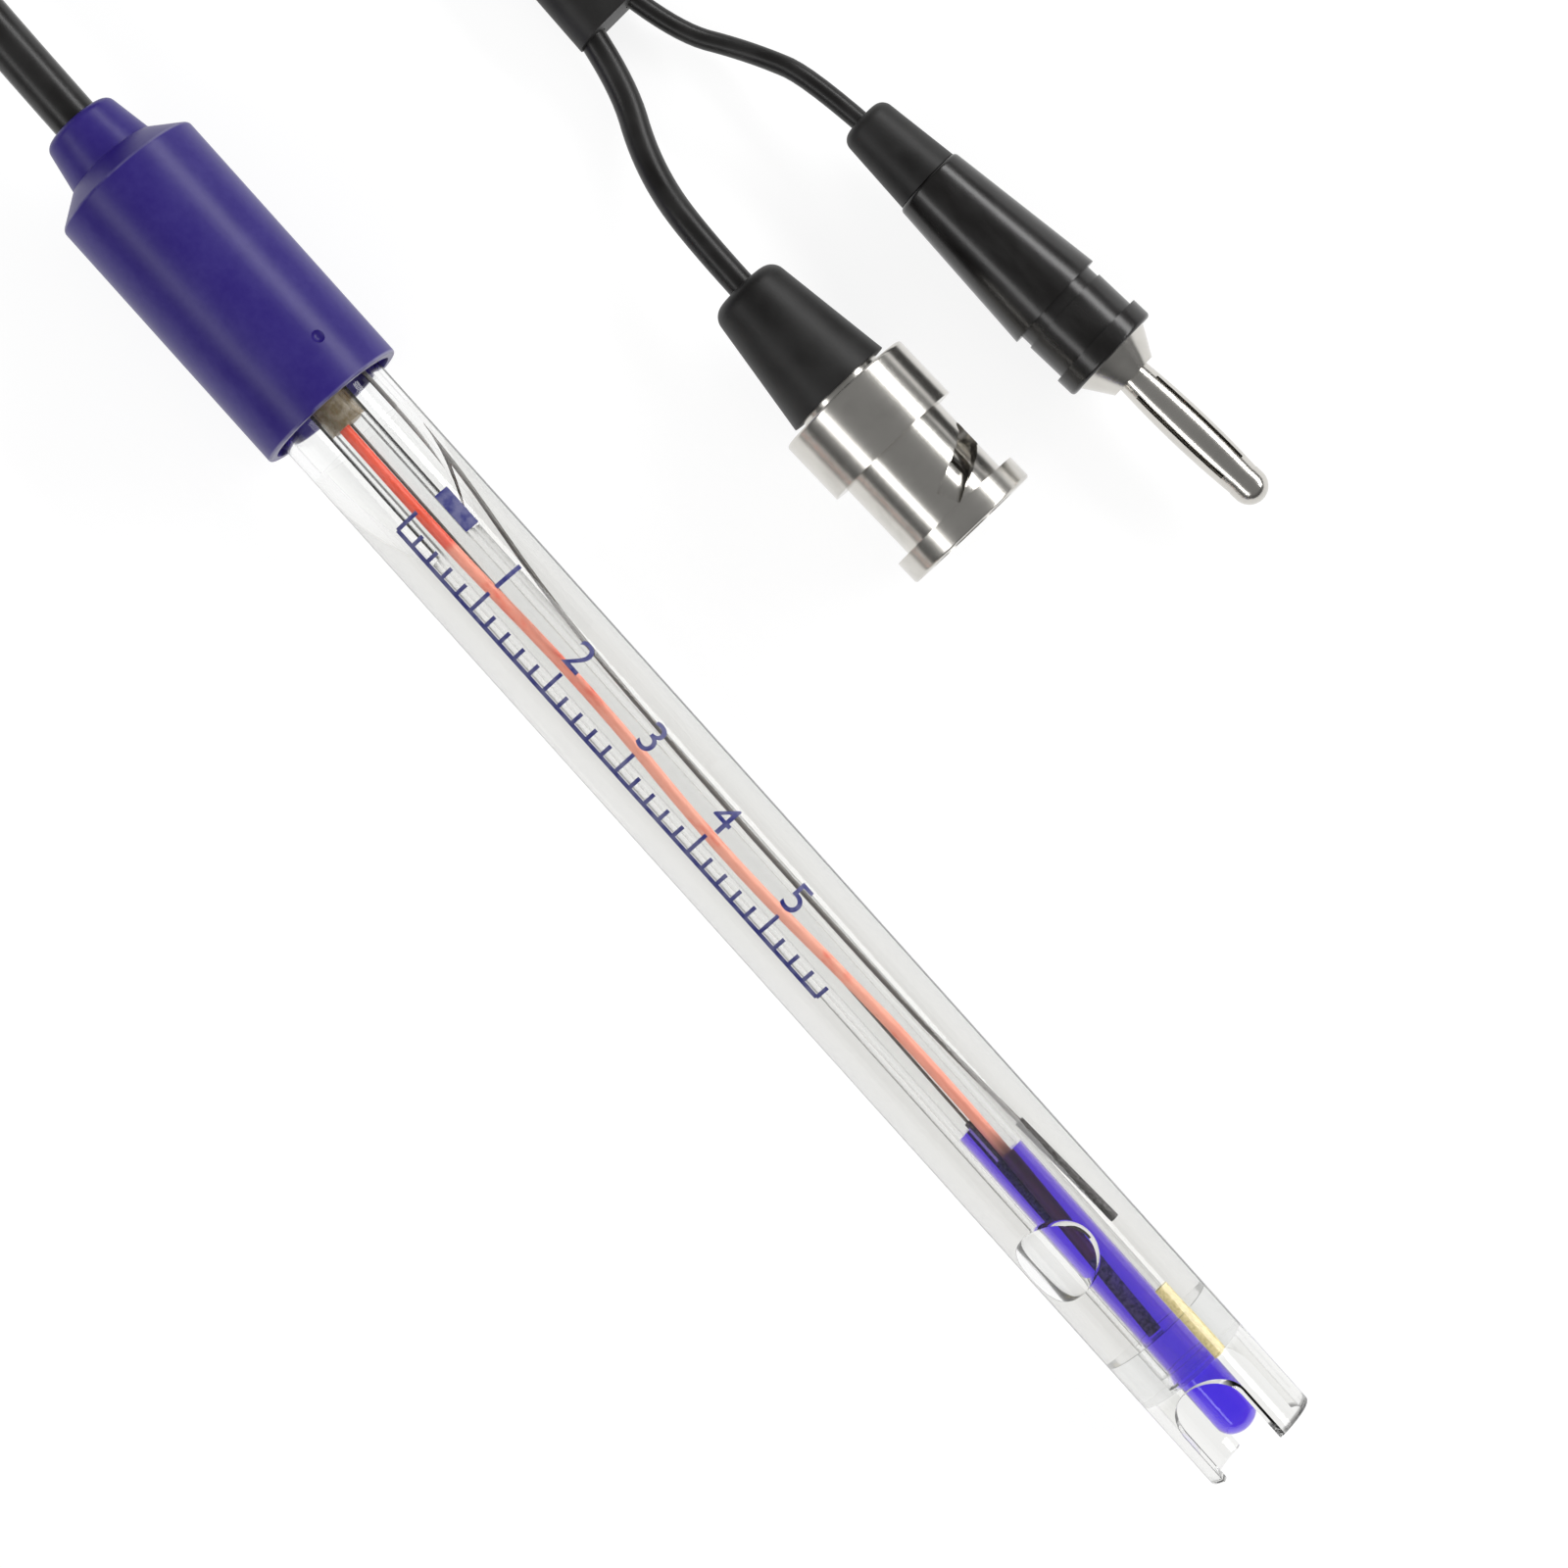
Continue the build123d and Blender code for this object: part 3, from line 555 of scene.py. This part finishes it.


# Points of the cable, chosen on the table, in millimetres
CABLE_OUT = [
    (-70.76, 0.0, 8.15), (-87.76, 0.0, 8.4), (-104.6, 0.3, 6.3),
    (-118.8, -0.6, 2.95), (-134.0, -2.3, 2.3),
]
CABLE_BACK = [
    (-134.0, 58.62, 6.9), (-122.0, 57.9, 7.0), (-104.5, 53.0, 4.3),
    (-87.0, 46.3, 2.4), (-69.48, 43.63, 3.2),
]
COAX_ROUTE = [
    (-61.38, 41.98, 3.2), (-53.2, 41.2, 1.9), (-45.0, 37.2, 3.2),
    (-35.7, 35.84, 7.25), (-23.7, 36.19, 7.25),
]
THIN_ROUTE = [
    (-61.61, 46.17, 3.2), (-53.4, 47.5, 1.5), (-46.8, 51.8, 2.1),
    (-39.58, 54.69, 5.2), (-21.15, 56.21, 5.2),
]
COIL_MIDDLE = (-138.0, 30.0)
TURNS_IN = 3.0
CLIMB = 0.25
TURNS_ALL = 5.5
POINTS_PER_TURN = 20


def coil_turns(outer, inner, diameter):
    """The coil in two layers: it winds inwards on the table, climbs one diameter and winds out again."""
    pitch = (outer - inner) / TURNS_IN
    tight = 0.75 + 0.25 * cos(2 * pi / POINTS_PER_TURN)
    points = []
    for step in range(1, round(TURNS_ALL * POINTS_PER_TURN)):
        turn = step / POINTS_PER_TURN
        climbed = min(max((turn - TURNS_IN) / CLIMB, 0.0), 1.0)
        wound_in = min(turn, TURNS_IN)
        wound_out = max(turn - TURNS_IN - CLIMB, 0.0)
        radius = (outer - pitch * wound_in + pitch * 0.985 * wound_out) / tight
        angle = -pi / 2 - 2 * pi * turn
        x = COIL_MIDDLE[0] + radius * cos(angle)
        y = COIL_MIDDLE[1] + radius * sin(angle)
        points.append((x, y, diameter / 2 + diameter * climbed * 1.01))
    return points


def cord_length(curve):
    """Length along a cord's centreline, from the curve that Blender draws for it."""
    bare = curve.copy()
    bare.bevel_depth = 0.0
    probe = bpy.data.objects.new("length_probe", bare)
    bpy.context.scene.collection.objects.link(probe)
    bpy.context.view_layer.update()
    drawn = bpy.data.meshes.new_from_object(probe.evaluated_get(bpy.context.evaluated_depsgraph_get()))
    ends = [[drawn.vertices[index].co for index in edge.vertices] for edge in drawn.edges]
    length = sum((end - start).length for start, end in ends)
    bpy.data.objects.remove(probe)
    bpy.data.curves.remove(bare)
    bpy.data.meshes.remove(drawn)
    return length


class ElectrodeOperator(bpy.types.Operator):
    """What every operator of the electrode shares."""

    bl_options = {"REGISTER", "UNDO"}

    def execute(self, context):
        self.build(context.scene)
        return {"FINISHED"}


class ELECTRODE_OT_dress_cap(ElectrodeOperator):
    """Gives the head cap, its potting and its bungs their finishes"""

    bl_idname = "electrode.dress_cap"
    bl_label = "Dress the Cap"

    def build(self, scene):
        colours = scene.electrode_colours
        dress(violet_plastic(tuple(colours.cap)), "head_cap")
        dress(potting_resin(tuple(colours.resin)), "cap_potting", "stem_bung")
        dress(dull_coat("pale_rubber", srgb(188, 188, 180), 1500.0), "top_bung")


class ELECTRODE_OT_dress_glass(ElectrodeOperator):
    """Gives the clear tube, the stem, the membrane and the end seal their finishes"""

    bl_idname = "electrode.dress_glass"
    bl_label = "Dress the Glass"

    def build(self, scene):
        sizes = scene.electrode_sizes
        dress(tube_plastic(), "body_tube")
        dress(stem_glass(), "glass_stem")
        dress(membrane_glass(), "glass_membrane")
        dress(dull_coat("porous_junction", srgb(232, 214, 150), 4000.0), "junction_pin")
        seal = clear_liquid("end_seal_resin", 1.4, (0.7, 0.7, 0.68), 60.0)
        new_piece("end_seal_clear", merged_copy("end_seal", sizes.wetting), seal, "root", "end_seal")


class ELECTRODE_OT_fill_liquids(ElectrodeOperator):
    """Fills the tube with clear gel and the stem with blue buffer"""

    bl_idname = "electrode.fill_liquids"
    bl_label = "Fill the Liquids"

    def build(self, scene):
        colours = scene.electrode_colours
        sizes = scene.electrode_sizes
        gel = clear_liquid("reference_gel_clear", 1.3, tuple(colours.gel), 45.0)
        new_piece("gel", merged_copy("reference_gel", sizes.wetting), gel, "root", "reference_gel")
        buffer = clear_liquid("buffer_blue", 1.32, tuple(colours.buffer), 1020.0)
        new_piece("buffer", merged_copy("inner_buffer", sizes.wetting), buffer, "root", "inner_buffer")


class ELECTRODE_OT_dress_wires(ElectrodeOperator):
    """Gives the wires, their coated ends, the sensor and its lead their finishes"""

    bl_idname = "electrode.dress_wires"
    bl_label = "Dress the Wires"

    def build(self, scene):
        colours = scene.electrode_colours
        dress(lead_insulation(tuple(colours.sensor_lead)), "sensor_lead")
        dress(metal("silver_wire", (0.2, 0.19, 0.18), 0.35), "inner_wire", "reference_wire")
        chloride = dull_coat("chloride_coat", (0.025, 0.02, 0.018), 5000.0)
        dress(chloride, "inner_wire_tip", "reference_wire_tip")
        dress(dull_coat("sensor_bead", (0.015, 0.014, 0.02), 2500.0), "temperature_sensor")


class ELECTRODE_OT_print_scale(ElectrodeOperator):
    """Prints a plain graduated scale on the tube"""

    bl_idname = "electrode.print_scale"
    bl_label = "Print the Scale"

    def build(self, scene):
        form = bmesh.new()
        pitch = (SCALE_END - SCALE_START) / (SCALE_TICKS - 1)
        flat_bar(form, (SCALE_START + SCALE_END) / 2, SCALE_SIDE, SCALE_END - SCALE_START, 0.00045)
        for index in range(SCALE_TICKS):
            x = SCALE_START + index * pitch
            length = 0.0015 if index % LONG_TICK_EVERY else 0.0026
            flat_bar(form, x, SCALE_SIDE + length / 2, 0.0004, length)
            if index and index % LONG_TICK_EVERY == 0:
                flat_number(form, index // LONG_TICK_EVERY, x, NUMERAL_SIDE, NUMERAL_HEIGHT)
        flat_bar(form, SCALE_START + 0.0022, 0.0024, 0.0044, 0.0016)
        wrap_on_tube(form, TUBE_RADIUS)
        data = bpy.data.meshes.new("scale_print")
        form.to_mesh(data)
        form.free()
        new_piece("scale_print", data, printed_ink(tuple(scene.electrode_colours.print_blue)), "root")


class ELECTRODE_OT_lay_cable(ElectrodeOperator):
    """Lays the cable from the cap, through its coil, to the splitter, and dresses the splitter"""

    bl_idname = "electrode.lay_cable"
    bl_label = "Lay the Cable"

    def build(self, scene):
        colours = scene.electrode_colours
        sizes = scene.electrode_sizes
        turns = coil_turns(sizes.coil_outer * 1000, sizes.coil_inner * 1000, sizes.cable * 1000)
        curve = cord_curve("cable", [*CABLE_OUT, *turns, *CABLE_BACK], sizes.cable)
        jacket = black_jacket("cable_jacket", tuple(colours.jacket))
        cable = new_piece("cable", curve, jacket, "root", "cable_start", "cable_coil", "cable_end")
        dress(black_jacket("splitter_rubber", darker(tuple(colours.jacket), 0.2), 0.5), "splitter")
        cord_length(curve)


class ELECTRODE_OT_lay_leads(ElectrodeOperator):
    """Lays the two leads from the splitter to their plugs"""

    bl_idname = "electrode.lay_leads"
    bl_label = "Lay the Leads"

    def build(self, scene):
        sizes = scene.electrode_sizes
        jacket = black_jacket("lead_jacket", tuple(scene.electrode_colours.jacket), 0.38)
        bnc = [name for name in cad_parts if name.startswith("bnc_") and name != "bnc_wave_spring"]
        bnc.append("bnc_spring")
        banana = [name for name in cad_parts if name.startswith("banana_")]
        leads = (
            ("coax", COAX_ROUTE, sizes.coax_lead, "coax_lead", bnc),
            ("thin", THIN_ROUTE, sizes.thin_lead, "thin_lead", banana),
        )
        for name, route, diameter, node, plug in leads:
            curve = cord_curve(name, route, diameter)
            lead = new_piece(f"{name}_cord", curve, jacket, "root", node)
            [value / 1000 for value in route[0]]
            cord_length(curve)


class ELECTRODE_OT_dress_bnc(ElectrodeOperator):
    """Gives the bayonet plug its finishes"""

    bl_idname = "electrode.dress_bnc"
    bl_label = "Dress the Bayonet Plug"

    def build(self, scene):
        nickel = metal("plug_nickel", (0.66, 0.64, 0.6), 0.2, BNC_TAIL, BNC_HEADING)
        dress(nickel, "bnc_body", "bnc_sleeve", "bnc_retaining_ring", "bnc_thrust_washer")
        steel = metal("spring_steel", (0.55, 0.55, 0.55), 0.25)
        waves = merged_copy("bnc_wave_spring", 0.0)
        spring = new_piece("bnc_spring", waves, steel, "root", "bnc_wave_spring")
        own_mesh(spring)
        dress(metal("gold_contact", (0.85, 0.6, 0.25), 0.2), "bnc_centre_pin")
        dress(hard_plastic("white_insulator", srgb(228, 226, 220)), "bnc_insulator")
        dress(dull_coat("red_gasket", srgb(150, 40, 34), 1500.0), "bnc_gasket")
        black = darker(tuple(scene.electrode_colours.jacket), 0.25)
        dress(black_jacket("boot_rubber", black, 0.5), "bnc_boot")


class ELECTRODE_OT_dress_banana(ElectrodeOperator):
    """Gives the banana plug its finishes"""

    bl_idname = "electrode.dress_banana"
    bl_label = "Dress the Banana Plug"

    def build(self, scene):
        black = tuple(scene.electrode_colours.jacket)
        dress(black_jacket("banana_boot_rubber", darker(black, 0.25), 0.5), "banana_boot")
        dress(hard_plastic("handle_plastic", black), "banana_handle", "banana_collar")
        nickel = metal("banana_nickel", (0.68, 0.66, 0.62), 0.18, BANANA_TAIL, BANANA_HEADING)
        dress(nickel, "banana_stem", "banana_contact_spring")


class ELECTRODE_OT_build_stage(ElectrodeOperator):
    """Sets up the white table, the soft lights and the camera"""

    bl_idname = "electrode.build_stage"
    bl_label = "Build the Stage"

    def build(self, scene):
        stage = scene.electrode_stage
        self.lay_table()
        self.light_sky(scene, stage)
        self.hang_softbox("plug_side_softbox", (0.0, 0.62, 0.34), (1.1, 0.16), stage.side_light)
        self.hang_softbox("far_side_softbox", (0.0, -0.5, 0.46), (1.1, 0.14), stage.fill_light)
        self.place_camera(scene, stage)
        scene.view_settings.view_transform = "Standard"
        scene.cycles.max_bounces = 32
        scene.cycles.transmission_bounces = 28

    def lay_table(self):
        """A white table that shows white through glass, and keeps a soft shadow."""
        form = bmesh.new()
        bmesh.ops.create_grid(form, x_segments=1, y_segments=1, size=2.5)
        data = bpy.data.meshes.new("table")
        form.to_mesh(data)
        form.free()
        table = bpy.data.objects.new("table", data)
        bpy.context.scene.collection.objects.link(table)
        material = bpy.data.materials.new("white_table")
        material.use_nodes = True
        tree = material.node_tree
        tree.nodes.clear()
        rays = add_node(tree, "ShaderNodeLightPath").outputs
        camera, glossy, clear = [
            Socket(tree, rays[f"Is {kind} Ray"]) for kind in ("Camera", "Glossy", "Transmission")
        ]
        matt = add_node(tree, "ShaderNodeBsdfDiffuse", None, {"Color": (0.8, 0.8, 0.8, 1.0)}).outputs[0]
        faint = add_node(tree, "ShaderNodeBsdfDiffuse", None, {"Color": (0.2, 0.2, 0.2, 1.0)}).outputs[0]
        glow = add_node(tree, "ShaderNodeEmission", None, {"Strength": 0.86}).outputs[0]
        white = add_node(tree, "ShaderNodeEmission", None, {"Strength": 1.0}).outputs[0]
        shown = add_node(tree, "ShaderNodeAddShader", None, {0: faint, 1: glow}).outputs[0]
        seen = add_node(tree, "ShaderNodeMixShader", None, {0: camera, 1: matt, 2: shown}).outputs[0]
        through = glossy.larger(clear)
        surface = add_node(tree, "ShaderNodeMixShader", None, {0: through, 1: seen, 2: white}).outputs[0]
        add_node(tree, "ShaderNodeOutputMaterial", None, {"Surface": surface})
        data.materials.append(material)

    def light_sky(self, scene, stage):
        """White for the camera, and for everything else a soft sky with a dark band near the horizon."""
        world = bpy.data.worlds.new("studio")
        scene.world = world
        world.use_nodes = True
        tree = world.node_tree
        tree.nodes.clear()
        rays = add_node(tree, "ShaderNodeLightPath").outputs
        direction = add_node(tree, "ShaderNodeTexCoord").outputs["Generated"]
        parts = add_node(tree, "ShaderNodeSeparateXYZ", None, {"Vector": direction})
        height = Socket(tree, parts.outputs["Z"])
        overhead = height.step(0.12, 0.6)
        camera, glossy = Socket(tree, rays["Is Camera Ray"]), Socket(tree, rays["Is Glossy Ray"])
        mirrored = 0.1 + overhead * 0.2
        sky = (0.2 + overhead * 0.8) * stage.soft_light
        strength = (mirrored * glossy + sky * (1.0 - glossy)) * (1.0 - camera) + camera
        background = add_node(tree, "ShaderNodeBackground", None, {"Strength": strength}).outputs[0]
        add_node(tree, "ShaderNodeOutputWorld", None, {"Surface": background})

    def hang_softbox(self, name, place, size, power):
        data = bpy.data.lights.new(name, "AREA")
        data.shape = "RECTANGLE"
        data.size, data.size_y = size
        data.energy = power
        lamp = bpy.data.objects.new(name, data)
        lamp.visible_transmission = False
        bpy.context.scene.collection.objects.link(lamp)
        lamp.location = place
        lamp.rotation_euler = Vector(place).to_track_quat("Z", "Y").to_euler()

    def place_camera(self, scene, stage):
        data = bpy.data.cameras.new("camera")
        data.lens = stage.lens
        data.sensor_width = 36.0
        data.sensor_fit = "HORIZONTAL"
        data.clip_start = 0.01
        camera = bpy.data.objects.new("camera", data)
        scene.collection.objects.link(camera)
        camera.location = (0.0071, 0.0079, stage.height)
        camera.rotation_euler = (0.0, 0.0, stage.roll)
        scene.camera = camera


class ELECTRODE_PT_sidebar(bpy.types.Panel):
    """Lists the electrode's operators and settings"""

    bl_idname = "ELECTRODE_PT_sidebar"
    bl_label = "Glass Electrode"
    bl_space_type = "VIEW_3D"
    bl_region_type = "UI"
    bl_category = "Electrode"

    def draw(self, context):
        scene = context.scene
        for group in (scene.electrode_colours, scene.electrode_sizes, scene.electrode_stage):
            box = self.layout.box()
            for name in group.__annotations__:
                box.prop(group, name)
        for operator in OPERATORS:
            self.layout.operator(operator.bl_idname)


OPERATORS = (
    ELECTRODE_OT_dress_cap,
    ELECTRODE_OT_dress_glass,
    ELECTRODE_OT_fill_liquids,
    ELECTRODE_OT_dress_wires,
    ELECTRODE_OT_print_scale,
    ELECTRODE_OT_dress_bnc,
    ELECTRODE_OT_dress_banana,
    ELECTRODE_OT_lay_cable,
    ELECTRODE_OT_lay_leads,
    ELECTRODE_OT_build_stage,
)
CLASSES = (ElectrodeColours, ElectrodeSizes, ElectrodeStage, *OPERATORS, ELECTRODE_PT_sidebar)


def register():
    for kind in CLASSES:
        bpy.utils.register_class(kind)
    bpy.types.Scene.electrode_colours = bpy.props.PointerProperty(type=ElectrodeColours)
    bpy.types.Scene.electrode_sizes = bpy.props.PointerProperty(type=ElectrodeSizes)
    bpy.types.Scene.electrode_stage = bpy.props.PointerProperty(type=ElectrodeStage)


def unregister():
    del bpy.types.Scene.electrode_stage
    del bpy.types.Scene.electrode_sizes
    del bpy.types.Scene.electrode_colours
    for kind in reversed(CLASSES):
        bpy.utils.unregister_class(kind)


def main():
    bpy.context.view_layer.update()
    register()
    for operator in OPERATORS:
        group, name = operator.bl_idname.split(".")
        getattr(getattr(bpy.ops, group), name)()


if __name__ == "__main__":
    main()
